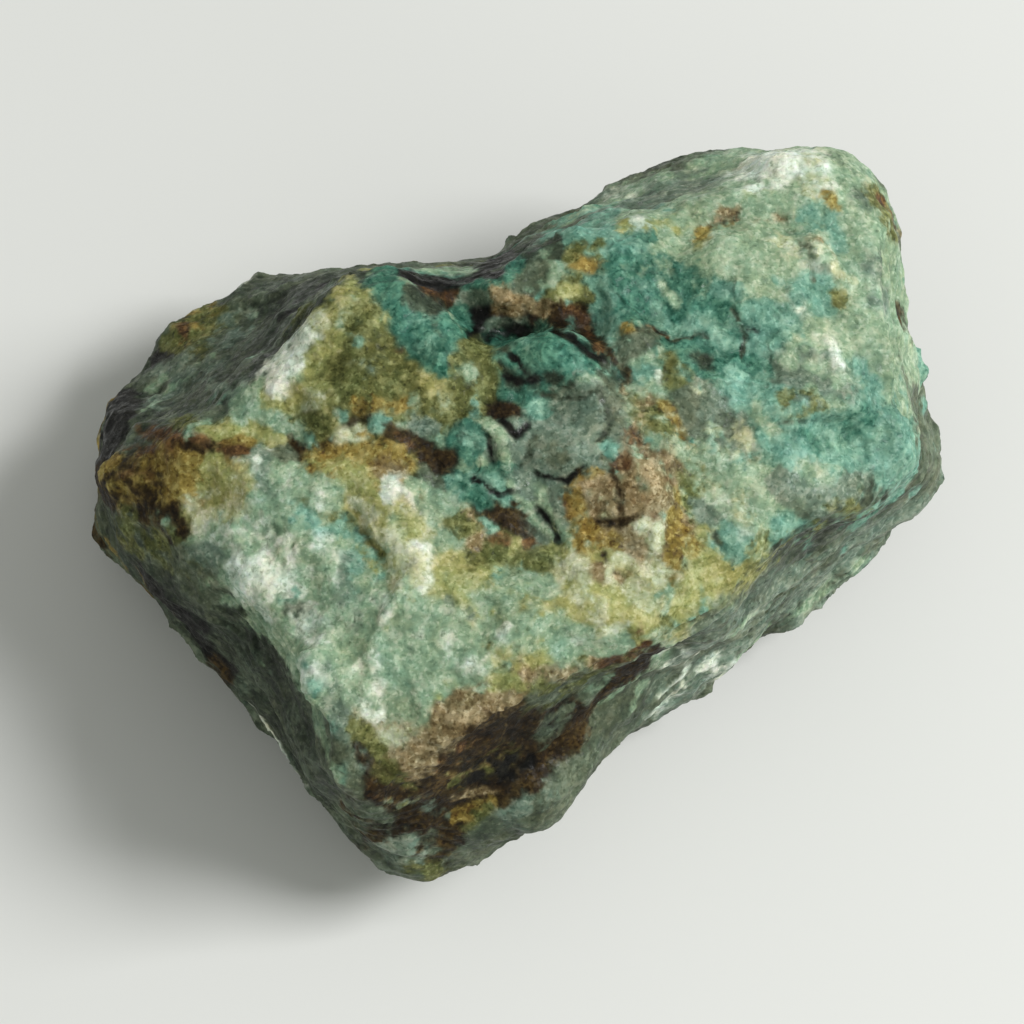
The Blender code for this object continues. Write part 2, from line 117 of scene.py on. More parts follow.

# A mark: mineral, half width in mm, how much of it is covered (0 to 1), rise in mm, and the places of its
# path, x,y in pixels of the photograph. A later mark lies over an earlier one. Marks of painted shadow, shade
# or glints are noted above them.
# black in the recess: its dark brown, deepened by painted shadow of the ridge above
# painted glints: pale quartz patches and streaks where the light shines on the right wall
# painted shade: black low on the lower-left wall
# painted shade: dark slate and black over the lower-left wall, which faces away from the light
# painted shadow along the knob's upper edge, over a shallow groove
# painted shadow: black line along the back edge, over a shallow groove
# painted shadow: dark slate and black along the ledge's top edge
# painted shadow: dark slate band along the ledge's top edge
# painted shadow: dark slate on the ledge's top edge
MARKS = """
# grounds
turquoise 7.5 0.8 0 700,565 735,580 775,612
turquoise 4 0.9 0 690,548 730,552 795,600 800,625
mint 4.6 1 0 735,538 760,520 785,535 797,570
mint 6 1 0 560,650 590,690 640,700 685,690
lime 3.2 0.7 0 690,680 715,672 740,664
olive 3.6 1 0 584,580 600,585 630,592
olive 2.2 0.8 0 580,602 605,600 640,590
ochre 2.6 1 0 500,630 515,628 535,634
olive 2.8 0.7 0 590,628 610,625 640,655 665,662
lime 2.8 0.45 0 595,640 625,660 660,668
tan 3.2 0.8 0 700,615 708,640 704,668
brown 3.6 1 0 608,757 625,752 645,742 666,727
brown 2.4 1 0 606,768 622,764 640,755 654,757
tan 1.7 0.8 0 600,731 622,736 650,722 676,710
# ledge at the upper left
slate 3.6 1 0 516,604 532,592 552,572
rock 3 0.5 0 516,604 532,592 552,572
slate 1.2 0.95 -0.1 546,603 560,586 578,566 594,553
slate 0.7 0.8 -0.05 556,580 564,571 572,562
grey 1.3 0.35 0 518,602 534,590 550,578
mint 0.3 0.6 0.05 514,598 522,589 530,582
mint 0.35 0.6 0.05 535,578 545,571 554,568
mint 0.3 0.5 0.05 512,606 522,597 538,584
grey 0.4 0.7 0.05 538,596 546,599 551,594
slate 0.9 1 0 590,553 580,556 570,559 563,566
olive 1.6 0.8 0.1 521,572 530,568 537,572
ochre 0.9 0.7 0 522,569 530,567 536,567
olive 1 0.8 0 524,580 535,576
rust 0.4 0.9 -0.05 521,570 527,572
black 1.2 1 0.2 497,624 499,614 504,604
black 0.6 1 0 512,576 517,586
# pale rim above the ledge
lime 0.8 0.8 0.1 597,551 588,560 580,570
cream 0.6 1 0.1 580,570 576,574
quartz 1.1 0.85 0.15 573,578 567,586 559,594
mint 1 1 0.1 556,598 549,605 545,610
mint 0.6 1 0.1 545,612 549,610
lime 0.9 0.9 0 571,598 578,601
mint 0.6 0.8 0 571,592 565,597
olive 0.8 0.9 0 524,610 533,611 541,611
lime 0.8 1 0 562,600 568,600
# olive field
lime 0.9 0.3 0 592,560 604,566 600,580
turquoise 0.4 0.8 0.1 595,578 597,577
grey 0.9 0.3 0 597,588 606,592
rust 0.4 0.7 0 608,576 611,580
ochre 0.8 0.9 0 598,603 611,601
brown 0.8 0.2 -0.1 574,606 583,606
lime 1 0.3 0.1 616,594 626,596
mint 1 0.2 0.1 614,606 628,603
turquoise 0.6 1 0.15 602,611 604,610
# copper at the back edge
slate 1 1 0.1 645,548 654,545 661,541
teal 1.3 1 0.2 607,553 613,564 618,573 625,581 629,587
turquoise 0.9 0.25 0.1 612,566 622,577 628,585
slate 0.8 0.5 0 617,562 622,568 628,572
brown 0.9 1 -0.3 620,555 626,559 631,560
rust 0.7 0.5 0 620,556 630,560
brown 0.4 0.8 -0.05 624,562 630,563
mint 0.4 1 0.1 613,554 616,556
mint 0.5 1 0.1 642,557 645,557
rock 1 1 0 654,558 662,555
teal 0.7 1 0.1 640,558 650,555 657,549 664,545
mint 1.1 0.6 0.1 664,553 676,550
ochre 0.5 0.9 0 681,547 688,549 697,547
tan 0.75 1 0.2 649,561 656,564 664,566 673,564
olive 0.8 0.9 0.1 672,560 679,558 683,561
lime 0.5 0.6 0 673,560 680,559
lime 0.3 0.8 0.1 674,560 679,559
# open recess and its vein
black 0.9 1 -0.6 640,566 646,569 655,571 664,570
black 0.7 1 -0.4 641,576 649,576 658,574
grey 0.25 0.5 0.1 643,579 646,572 652,570 662,569
brown 0.6 1 -0.14 665,570 674,567 681,566 685,574 689,582
brown 0.85 1 -0.09 688,580 693,586 697,592
rust 0.35 0.6 0 676,566 683,568 690,583
turquoise 0.9 0.9 0.2 694,556 692,566 697,577
# copper knob
teal 1.4 1 0.3 655,582 666,579 677,585 688,593
turquoise 0.8 0.15 0.1 670,580 680,588 688,594
mint 0.5 0.6 0.1 683,593 688,595
turquoise 0.5 0.7 0.1 663,580 671,583
black 0.35 1 -0.2 671,575 678,578 684,583 690,586
# folded grey and teal middle
grey 2.2 1 0 668,604 684,606 678,622 655,622
teal 1.3 1 -0.1 651,588 657,596 664,601
black 0.22 0.6 -0.05 650,587 658,597
slate 1.1 0.5 0 652,588 660,597
black 0.2 0.6 -0.05 655,585 665,594
olive 1 1 0.1 642,584 644,591 644,598
olive 0.5 0.9 0 634,586 635,594
mint 0.5 1 0.1 638,590 639,593
turquoise 0.4 0.5 0.1 641,599 641,607
grey 1.4 1 0.2 672,610 686,605
black 0.22 0.5 -0.05 682,600 691,602 694,609 690,616
grey 1.2 1 0.2 670,626 680,624
slate 0.3 0.9 -0.09 664,617 660,625 656,627
turquoise 0.6 0.8 0.1 664,604 668,606
brown 0.7 1 -0.2 650,605 656,605
grey 0.35 1 0.1 655,611 656,612
black 0.28 1 -0.05 651,610 656,615 660,612
mint 0.4 0.9 0.2 652,628 652,617 645,611 636,612
teal 0.5 0.9 0.1 636,612 631,620 632,630
black 0.22 0.7 -0.09 633,624 634,616 640,611 646,616 648,627
teal 0.8 1 0.1 640,616 639,622
turquoise 0.5 1 0.1 639,616 642,618
mint 0.35 1 0.1 643,626 644,630
teal 1 0.9 0 630,633 640,638 650,632
turquoise 0.7 0.7 0.1 630,633 645,634 655,640
mint 0.35 0.9 0.1 654,634 661,641 668,645
black 0.2 0.9 -0.09 640,632 650,638 659,636
brown 0.9 0.9 -0.1 644,643 652,646 662,650
grey 0.9 0.9 0 664,653 672,648 676,640
grey 0.3 0.9 0.1 670,634 673,642 674,650
rust 0.3 0.9 0 676,640 678,646
turquoise 0.6 1 0.2 644,651 645,652
tan 0.8 0.9 -0.05 636,648 640,656
rust 0.5 0.6 -0.05 648,657 662,658
# brown and yellow left of the middle
brown 0.7 1 -0.14 609,614 615,617 622,622 630,624
brown 0.4 1 -0.09 622,624 626,629
rust 0.4 0.3 0 610,615 620,623
brown 0.8 1 -0.09 563,618 572,621
brown 0.6 0.8 -0.09 578,612 585,621 596,609
cream 0.6 0.6 0.2 587,617 593,613 596,618
ochre 1.7 1 0 584,630 596,626 604,630
lime 1.6 0.45 0 584,632 596,629 604,633
lime 0.5 0.6 0.1 590,628 600,634
tan 0.7 0.8 0 603,628 609,630
lime 0.9 0.8 0 591,640 600,646
quartz 0.9 0.65 0.2 609,636 613,640 617,645
grey 0.4 0.9 -0.05 613,640 616,642
mint 1.2 0.85 0.1 606,652 615,654 622,658
lime 1 0.5 0 604,652 613,657 624,664
mint 1.1 0.8 0 624,638 628,645 630,652
cream 1.3 0.7 0.1 614,658 617,667 619,677
quartz 0.6 0.7 0.1 618,660 622,666 620,674
# crest towards the nose
quartz 1.2 0.4 0.2 551,622 556,630 562,626
grey 0.9 0.6 0 555,618 560,634
quartz 0.3 1 0.2 566,625 568,626
mint 0.9 0.9 0.1 566,630 576,636 587,640
lime 0.5 0.3 0.2 533,613 542,613
ochre 0.5 1 0 544,617 553,617
rust 0.55 0.9 -0.05 512,612 526,616 540,619 549,621
brown 0.35 0.8 -0.05 524,618 536,620
brown 1.5 0.7 -0.1 507,634 514,641 524,644
rust 1.3 0.4 0 506,624 520,626
brown 1 1 0 494,632 497,641
ochre 0.8 0.9 0.1 527,628 530,637
lime 1.1 0.8 0 538,630 546,634
cream 0.9 0.6 0 530,642 542,648 548,650
# lower facet
olive 0.45 0.9 -0.05 574,641 583,646 592,647
olive 0.5 1 -0.09 597,652 601,658 606,666
brown 0.25 0.8 -0.05 595,652 602,660
lime 0.4 0.9 0.1 597,660 604,668
turquoise 1.6 0.45 0 562,648 575,648 590,655 600,672
turquoise 0.8 0.6 0 564,665 566,676
quartz 1.1 0.9 0.1 552,662 555,668 559,672
tan 0.4 0.8 0 547,651 550,655
mint 1.1 0.6 0 545,676 556,680 566,688
slate 0.6 0.9 -0.09 569,684 571,685
grey 1.8 0.2 0 575,690 585,670 595,690
mint 0.8 0.7 0 572,688 580,694
mint 1 1 0.3 575,704 578,710 580,715
turquoise 0.7 0.4 0 575,706 579,714
quartz 0.7 0.6 0.1 575,704 578,711
grey 0.9 0.9 0 584,720 590,733
mint 1.4 0.9 0 614,690 628,692
turquoise 1.2 0.9 0 655,672 667,674
mint 1.3 1 0.1 672,694 684,696
lime 1.4 0.35 0 630,672 650,680 672,682
olive 0.9 0.3 0 647,702 650,696
quartz 0.45 0.5 0.1 652,693 654,690
rust 0.4 0.9 -0.09 613,713 614,717
grey 0.7 0.5 -0.05 617,698 622,701
quartz 0.8 0.6 0.1 599,706 600,722
mint 1.4 0.9 0 606,712 622,722 634,715
tan 0.9 0.6 0 618,728 634,720 652,713 668,707
lime 1.2 0.45 0 630,716 648,706 664,700
cream 0.7 0.7 0 604,734 622,730
olive 0.7 0.5 -0.1 640,662 652,662
lime 0.5 0.5 0 606,690 610,680 609,670
# yellow and cream corner
lime 1.6 0.7 0 680,668 690,674 696,684
cream 1.2 0.35 0.1 680,668 690,674 696,684
lime 1 0.8 0.1 694,664 706,664 706,686
cream 0.5 0.9 0.1 680,665 685,668
quartz 0.5 1 0.1 691,692 696,695
cream 0.35 0.9 0.1 693,671 696,675
brown 0.25 0.9 -0.09 690,662 693,668 697,669
olive 0.9 0.4 0 708,692 714,690
lime 1.4 0.7 0 722,676 738,666
# brown crystals
brown 1.2 0.3 -0.1 690,640 695,650 700,660
rust 1.2 0.4 0 697,622 713,632 702,660
cream 0.5 0.4 0.2 705,628 709,634
tan 0.7 0.8 0.2 704,643 703,650 709,656
cream 0.5 0.5 0.2 711,650 712,664
ochre 0.6 1 0 718,645 719,656 717,668
ochre 0.9 0.8 0 684,634 682,646 686,656
ochre 0.4 0.9 0 719,637 721,643
tan 0.7 1 0 722,630 727,628
rust 0.6 0.7 0 702,617 706,624
# right of the middle
ochre 0.6 1 0.1 701,573 708,576
brown 0.6 1 -0.1 706,574 712,577 720,579 731,580
rust 0.25 0.7 0 708,572 716,576
teal 1.5 0.8 0 700,548 710,552 718,553
teal 1.2 0.9 -0.1 704,565 722,562 736,561
teal 1.4 0.5 -0.1 738,562 750,572 756,584
black 0.28 0.8 -0.14 747,572 751,574
black 0.2 0.7 -0.09 743,582 747,583
mint 0.3 1 0.1 714,556 719,563
teal 1 1 0 712,583 721,583 729,584 736,591
mint 1.2 0.5 0.1 704,580 712,594 706,606
quartz 0.3 0.9 0.1 712,591 713,596
olive 0.6 0.5 0 705,603 710,606
olive 1.1 0.9 0 719,589 720,600
cream 0.5 0.8 0.1 718,608 722,611
ochre 0.8 0.7 0 716,606 722,616
mint 0.7 0.7 0.1 713,613 717,619
turquoise 0.5 0.9 0.1 691,619 694,621
tan 1.7 0.4 0.1 731,600 740,608 744,620
cream 1.5 0.25 0.2 730,602 738,618 746,612
grey 1.6 0.6 0 733,600 745,614
teal 0.5 0.9 -0.09 727,582 735,590 742,597 749,604
turquoise 1.4 1 0.2 738,586 748,600 757,614 772,627
mint 0.5 0.7 0.1 750,604 757,614 770,624
mint 1.9 1 0 733,634 745,645 752,638
cream 0.9 0.2 0.1 736,638 748,648
turquoise 0.9 1 0.1 739,654 745,660
slate 0.2 0.4 -0.08 731,648 735,657 741,663
# sugary middle of the lobe side
grey 1.8 0.8 0 766,588 778,594 784,602
mint 1.6 0.25 0.1 766,580 780,596
quartz 0.5 0.6 0.2 765,560 767,566
quartz 0.4 0.35 0.2 770,570 777,578
quartz 0.35 0.5 0.2 779,580 783,588
olive 0.9 0.6 0 764,604 773,604
slate 0.2 0.9 -0.12 760,609 773,610 787,610
brown 0.35 0.8 -0.05 782,613 785,613
turquoise 2 0.7 0 772,620 790,616 800,604
teal 0.9 0.6 0 769,617 778,618 792,608
grey 1.1 0.9 0.1 762,636 772,641 790,635
quartz 0.7 0.15 0.2 761,634 770,642 778,640
# lobe
grey 1.7 1 0 694,525 718,518 741,513
mint 2.2 1 0.1 749,514 762,510 776,514
quartz 2 0.6 0.1 748,512 760,513 772,512
cream 1 0.3 0.1 756,508 768,507 775,518
grey 0.8 0.8 0 783,509 789,516 793,524
olive 0.8 0.9 0 796,520 801,527 803,536
rust 0.4 0.7 0 799,522 803,530 806,540
ochre 0.4 0.9 0 778,521 781,527
turquoise 1.1 0.8 0 766,533 776,531 781,538
lime 0.7 0.8 0 749,524 757,524 761,528
lime 0.9 0.5 0 700,531 713,532 728,531
mint 0.6 0.7 0.1 700,529 720,529
tan 0.7 1 0 732,533 738,531 748,529 760,529
rust 0.4 0.6 -0.05 730,534 744,531 760,530
brown 0.3 0.7 -0.1 728,537 733,535 738,533
ochre 0.6 1 0 729,538 736,537 742,535
olive 0.6 0.9 0 730,541 734,541
mint 1.9 1 0.2 744,544 756,541 764,546
cream 0.5 0.5 0.1 757,538 764,541 768,548
tan 0.5 0.3 0 767,537 773,541
cream 0.6 0.5 0.2 776,544 781,550 786,556
turquoise 1.1 1 0.1 772,556 777,564
olive 0.7 0.6 0 782,561 784,565
teal 0.4 0.8 -0.05 704,537 710,537
# right side, from the lobe down
mint 1.6 0.7 0 800,545 804,575 808,600
grey 1 0.8 0 795,548 798,562
tan 0.4 0.5 0 806,536 807,544
brown 0.6 0.9 -0.09 806,566 808,573
rock 1.4 0.6 0 809,585 812,605
# small patches over the others
black 0.6 1 -0.2 614,552 630,554 648,551
slate 0.7 1 0 617,561 626,566
teal 0.6 1 0 629,570 633,575
olive 0.7 0.8 0 680,543 688,541
tan 0.35 0.9 0.1 661,564 668,566
brown 0.5 0.9 -0.1 674,571 679,573
rock 0.7 0.9 0 700,582 708,578
rock 0.8 0.9 0 692,600 693,608
slate 0.6 0.9 0 691,590 693,595
teal 0.8 1 0 725,583 733,589
slate 0.5 0.8 -0.05 726,583 732,588
teal 0.6 1 -0.05 742,585 748,588
rock 0.9 1 0 723,602 727,608
olive 0.9 0.9 0 723,628 727,634 726,642
olive 0.6 0.7 0 709,610 713,612
tan 0.9 1 0.1 688,638 692,645
cream 0.6 0.5 0.1 706,650 708,658
tan 0.7 0.9 0.1 707,629 713,640
cream 0.9 0.8 0.1 697,662 704,666
cream 0.8 0.4 0.1 684,683 691,687
teal 0.6 0.8 0 641,639 645,642
rock 0.6 0.9 0 621,631 625,634
lime 0.6 1 0 594,642 600,646
lime 0.9 0.9 0 536,638 545,641
mint 1 1 0 573,688 581,692
mint 0.9 1 0 612,689 619,690
mint 0.7 0.9 0 608,668 610,676
quartz 0.6 0.8 0.1 600,716 600,722
rock 0.7 0.3 0 787,641 798,637
rock 0.8 0.3 0 768,644 778,643
rock 0.6 0.8 0 564,620 568,623
ochre 0.5 0.8 0 694,657 700,659
mint 1.1 1 0 560,649 563,660 578,667
brown 0.5 0.8 0 655,650 660,652
lime 0.6 0.8 0 583,604 587,608
lime 0.7 0.7 0 577,588 586,577
lime 0.7 1 0 594,641 601,645
mint 0.6 0.9 0 617,636 620,641
mint 0.6 0.9 0 609,667 612,675
olive 0.6 0.8 0 633,648 638,651
olive 0.6 0.8 0 577,610 582,613
olive 0.7 0.9 0 604,594 611,597
olive 0.6 0.8 0 599,575 604,579
teal 0.5 0.8 0 639,559 644,559
teal 0.8 0.8 0 668,582 674,592
slate 0.5 0.7 0 671,592 677,595
grey 0.5 0.9 0 583,706 586,713
lime 0.8 0.5 0 632,682 638,685
lime 0.7 0.6 0 651,709 658,712
mint 0.9 0.9 0 550,677 556,681
mint 1 0.8 0 730,511 740,509 748,507
mint 0.8 0.6 0 694,523 701,519
mint 0.7 0.9 0 750,526 761,524
turquoise 0.7 0.7 0 735,557 741,558
ochre 0.6 0.7 0 722,655 726,659
mint 0.8 0.9 0 808,578 811,590
mint 0.8 0.9 0 655,670 668,674
quartz 0.6 0.8 0.1 609,638 614,641
lime 0.7 0.9 0 538,636 544,637
lime 0.8 0.7 0 529,646 538,651
mint 0.9 0.9 0.1 783,508 788,513
slate 0.6 0.9 0 548,592 554,589
slate 0.6 0.8 0 584,555 597,552
black 0.8 0.8 0 645,549 653,546
slate 0.7 0.9 0 662,544 670,540
rock 0.6 0.8 0 660,554 666,552
grey 0.4 0.9 0 636,561 643,561
teal 0.4 0.9 0 635,565 637,570
quartz 1.2 0.95 0.1 553,660 557,668
quartz 1 0.45 0 546,665 551,675 560,684
quartz 0.9 0.3 0 572,686 582,692
mint 0.8 1 0.1 569,633 578,639
quartz 0.6 0.5 0 601,702 602,712
mint 0.8 0.9 0 631,699 640,703
cream 0.5 0.7 0.1 609,667 611,676
mint 0.3 0.6 0.15 617,669 607,684 599,699 598,716
mint 1.2 0.95 0 619,688 630,694
cream 0.5 0.8 0.1 594,641 600,645
cream 0.45 0.6 0.1 599,648 608,655 618,665
cream 0.4 0.5 0.1 664,662 680,668 694,666
cream 0.7 0.5 0 571,597 577,600
lime 0.6 0.9 0 555,614 563,617
grey 1 0.6 0 538,575 549,571
cream 0.6 0.4 0.1 688,640 691,645
cream 0.7 0.8 0 702,675 708,680
cream 0.8 0.85 0 677,668 682,672
cream 0.7 0.6 0 711,668 716,671
grey 0.9 0.8 0 735,606 742,612
mint 1 0.7 0 694,522 714,514
quartz 0.8 0.6 0 750,509 761,508
mint 0.6 0.8 0 690,696 697,695
mint 0.9 0.9 0 677,699 686,697
mint 0.8 0.9 0 590,702 594,710
slate 0.6 0.7 -0.05 568,683 571,685
quartz 0.8 0.2 0 570,636 577,640
quartz 1.8 0.25 0 558,652 562,662 566,672
quartz 0.7 0.8 0.1 570,587 563,596
cream 0.7 0.7 0 613,664 617,671
tan 0.7 0.8 0 701,657 705,662
ochre 0.7 0.8 0 524,636 531,640
grey 0.8 0.8 0 761,634 769,638
grey 0.6 0.8 0 769,641 775,643
rock 0.6 0.6 0 736,607 740,613
olive 0.6 0.8 0 593,729 598,733
turquoise 0.8 0.9 0 752,569 757,576
mint 0.8 0.7 0 769,629 778,631
grey 0.8 0.7 0 519,591 527,587
mint 0.6 0.4 0 590,570 594,574
mint 0.7 0.8 0 633,708 640,710
mint 0.7 0.9 0 600,680 604,685
tan 0.6 0.6 0 689,668 695,672
lime 0.7 0.8 0 692,679 697,684
mint 0.7 0.7 0 550,653 553,657
olive 0.7 0.7 0 657,664 668,665
lime 0.7 0.6 0 613,644 618,653
slate 0.6 0.9 0 583,555 592,553
black 0.7 0.35 0 562,572 572,562 582,556
quartz 0.9 0.3 0 678,699 686,697
quartz 1.2 0.3 0 626,694 640,702
lime 0.5 0.7 0 540,614 547,614
rock 0.6 0.9 0 533,607 540,606
cream 0.8 0.6 0 680,680 686,684
rock 0.8 0.7 0 667,619 674,622
cream 0.6 0.5 0 742,613 747,618
mint 0.8 0.8 0 644,679 652,680
teal 0.6 0.4 0 738,592 743,597
mint 0.5 0.5 0 768,642 773,644
grey 0.6 0.5 0 769,546 775,549
teal 0.5 0.6 0 653,599 659,601
quartz 0.9 0.3 0 693,522 702,519
olive 0.7 0.8 0 531,567 537,567
quartz 1.2 0.3 0 733,642 742,650
mint 0.5 0.6 0 721,622 726,626
tan 0.5 0.8 0 650,564 657,566
lime 0.7 0.4 0 576,592 583,592
grey 0.6 0.5 0 631,682 637,685
quartz 1.1 0.85 0 750,511 760,511
quartz 1.4 0.25 0 577,662 578,690
quartz 0.7 0.5 0 571,637 576,640
grey 0.6 0.7 0 728,642 731,647
cream 0.6 0.8 0 690,693 695,695
olive 0.7 0.4 0 721,668 727,666
quartz 0.7 0.3 0 699,533 706,532
mint 0.6 0.7 0 722,529 730,529
grey 0.6 0.8 0 617,611 623,613
quartz 0.8 0.3 0 600,680 604,686
grey 0.6 0.8 0 660,636 665,639
mint 0.8 0.8 0 613,722 620,724
slate 0.22 0.9 -0.08 688,598 692,604 693,611 689,617
slate 0.2 0.8 -0.08 667,599 678,601 688,598
black 0.18 0.8 -0.08 664,630 677,633 683,627
mint 0.22 0.9 0.08 666,638 672,647 676,655
mint 0.2 0.9 0.08 661,645 667,651 674,656
black 0.2 0.8 -0.08 663,641 670,650 674,657
black 0.18 0.8 -0.08 652,592 660,594 668,593
brown 0.22 0.8 -0.1 688,648 697,649 706,646
brown 0.2 0.8 -0.1 694,630 698,640 697,652
slate 0.18 0.7 -0.1 742,566 746,576 744,588
rock 0.22 0.7 -0.1 762,536 771,544 772,555
# bevel
brown 2.3 0.95 0 608,756 622,751 640,745 657,736 668,727
black 1.1 0.65 -0.1 640,746 651,748 661,743
rust 1.6 0.2 0 604,760 618,752 640,738
olive 0.8 0.6 0 596,734 604,742 612,748
tan 1 0.8 0 628,726 622,737 618,746
brown 0.9 0.8 0 642,730 654,728 666,727
ochre 0.6 0.7 0 632,766 640,763 647,759
tan 0.25 0.7 0.05 632,758 640,754 648,755
grey 0.5 0.4 0 606,760 620,758 628,764
olive 1.1 0.6 0 634,776 645,767
rock 1.3 0.8 0.1 668,717 682,712 694,705
olive 1.3 0.5 0 668,716 682,711 694,704
rock 0.9 0.8 0 668,734 675,727
tan 0.8 0.6 0 633,727 639,724
tan 0.6 0.8 0 688,703 695,701
brown 0.5 1 -0.2 705,703 697,712 686,722 677,734 670,740
rust 0.7 0.9 0 694,703 706,695
brown 0.5 0.9 -0.05 594,737 597,743
grey 1 0.8 0.1 605,773 614,778
brown 0.8 0.7 0 599,768 610,764
olive 1 0.9 0 620,782 626,786
brown 0.9 0.9 -0.1 628,772 636,775
rock 1.2 1 0 636,783 648,777 666,763 681,748 703,730 721,716
rock 0.7 0.8 0.1 588,738 593,754 597,766
brown 0.8 0.6 0 620,777 628,779
rock 0.7 0.8 0 600,762 606,767
olive 1 0.15 0 612,757 632,749 652,740
mint 0.6 0.8 0 689,698 696,696
grey 0.5 0.8 0 593,738 596,744
grey 0.7 0.7 0 613,773 619,777
brown 0.6 0.6 0 660,753 667,748
# right wall
grey 0.8 0.6 0 814,642 785,656 757,675 728,697 712,713
brown 0.7 1 0 701,708 706,705 711,700
olive 1.5 0.35 0 752,664 766,655 784,645
slate 1.5 0.5 0 760,661 778,652 796,641
grey 1.6 0.6 0 734,688 748,680 762,674
grey 1.7 0.75 0 806,648 786,666 764,682
grey 1.5 0.9 0 748,694 732,706 712,722
mint 0.5 0.5 0.05 792,663 778,675 740,703
quartz 0.8 0.3 0 711,722 719,716
quartz 1.2 0.3 0 718,702 735,706
quartz 0.12 0.7 0.05 722,711 715,718 707,727
quartz 0.1 0.7 0.05 712,717 722,708
quartz 0.12 0.7 0.05 731,702 733,704
# lower-left wall
slate 2.6 0.85 0 500,672 530,708 567,750
slate 0.7 1 0 500,656 518,672 537,689 557,698 567,711 574,733 584,755
black 0.7 0.8 0 508,675 522,688 534,697 545,705
olive 1.5 0.6 0 505,652 520,660 530,662
rock 1.2 0.9 0 528,665 535,675
black 0.8 0.8 0 505,672 516,686 528,697
brown 0.8 0.8 0 540,705 542,709
cream 1 0.7 0 532,646 546,641
mint 0.9 0.9 0 538,654 544,655
grey 0.8 0.9 0 532,660 540,662
quartz 0.9 0.4 0 536,653 544,652
slate 0.6 0.8 0 543,683 549,686
brown 0.8 0.7 0 513,645 522,651
grey 0.9 0.6 0 655,765 668,757
"""

# The same on the sides out of the camera's sight: a place is a bearing in degrees from +X and a height in mm.
SIDE_MARKS = """
# back
turquoise 1.3 0.8 0.1 62,21 74,19 88,20 101,17
mint 3 0.6 0 70,18 88,17
teal 0.8 0.7 0.1 66,20 80,18 95,19
olive 2.8 0.5 0 110,17 122,11 131,5
ochre 0.8 0.5 0 114,15 123,10 129,6
rust 0.6 0.7 -0.05 117,13 120,12
quartz 0.26 0.75 0.05 56,8 66,9 80,7 96,8 112,10
cream 0.18 0.7 0.05 80,7 90,10 101,14
grey 1.4 0.5 0 56,8 80,7 112,10
slate 3.2 0.7 0 60,4 90,3 120,3
# right
mint 2.8 0.6 0 8,18 22,17 36,17
turquoise 1.2 0.7 0.1 2,17 16,15 30,16
quartz 0.24 0.75 0.05 4,9 14,8 26,9 42,13
cream 0.18 0.6 0.05 14,8 22,4 30,2
grey 1.3 0.5 0 4,9 26,9 42,13
olive 2 0.5 0 38,6 46,12
# front
mint 1.6 0.5 0 -22,16 -34,16
olive 1.6 0.5 0 -78,7 -70,3
slate 2.2 0.35 0 -60,3 -40,3 -20,3
# left, with the nose and the ledge
quartz 0.22 0.7 0.05 -152,9 -135,6 -116,7
mint 1.6 0.5 0 -128,15 -116,14
ochre 3 0.6 0 172,10 -176,8 -168,9
brown 1.6 0.5 0 168,5 -178,4
quartz 1.6 0.25 0.1 142,8 154,7
"""

# where the stone reaches a little further out than the CAD solid: half width mm, rise mm, path in pixels
SWELLS = [
    (4.0, 0.7, [(778, 512), (788, 516), (798, 532)]),  # lobe corner
    (2.5, 0.5, [(700, 518), (712, 516)]),  # back ledge corner
    (3.0, 1.2, [(673, 761), (685, 748), (698, 734)]),  # wall foot
    (2.5, 0.9, [(650, 775), (664, 769)]),  # wall foot low
    (2.5, 0.5, [(616, 780), (624, 784)]),  # bottom tip
]


def marks_in(table):
    """A table's marks, each with its numbers read and its path as a list of places."""
    marks = []
    for line in table.strip().splitlines():
        if not line.startswith("#"):
            mineral, half, cover, rise, *places = line.split()
            path = [[float(number) for number in place.split(",")] for place in places]
            marks.append((mineral, float(half), float(cover), float(rise), path))
    return marks


def linear(tone):
    """An sRGB tone, 0 to 255, as the linear colour that a shader takes."""
    colour = []
    for level in tone:
        share = level / 255.0
        colour.append(share / 12.92 if share < 0.04045 else ((share + 0.055) / 1.055) ** 2.4)
    return colour


# -------------------- noise
# Sizes are in mm. Each call has a seed of its own, any whole number that no other call has.


def hashed(cell, seed):
    """A fixed number from 0 to 1 for each lattice cell: its bits, mixed with large primes."""
    whole = cell.astype(np.int64)
    mixed = whole[:, 0] * 73856093 ^ whole[:, 1] * 19349663 ^ whole[:, 2] * 83492791
    mixed = (mixed ^ seed * 9737333) & 0x7FFFFFFF
    mixed = (mixed ^ mixed >> 13) * 1274126177 & 0x7FFFFFFF
    mixed = (mixed ^ mixed >> 15) * 668265263 & 0x7FFFFFFF
    return (mixed ^ mixed >> 14) / 0x7FFFFFFF


def hashed_vector(cell, seed):
    """Three such numbers for each cell."""
    return np.stack([hashed(cell, seed + shift) for shift in (0, 71, 143)], axis=1)


def turned(points, size, seed):
    """The points in sizes, on a lattice turned its own way for each seed, so that no grid shows."""
    turn = Euler((0.7 + seed, 0.4 + 2.3 * seed, 1.1 + 0.7 * seed)).to_matrix()
    return points / size @ np.array(turn).T + 0.37 * seed


def noise(points, size, seed):
    """Smooth noise, about -1 to 1, with features of this size."""
    spot = turned(points, size, seed)
    cell = np.floor(spot)
    part = spot - cell
    eased = part**3 * (part * (part * 6.0 - 15.0) + 10.0)
    total = np.zeros(len(points))
    for corner in itertools.product((0, 1), repeat=3):
        corner = np.array(corner)
        slope = hashed_vector(cell + corner, seed) * 2.0 - 1.0
        share = np.where(corner == 1, eased, 1.0 - eased).prod(axis=1)
        total += share * ((part - corner) * slope).sum(axis=1)
    return total * 1.9


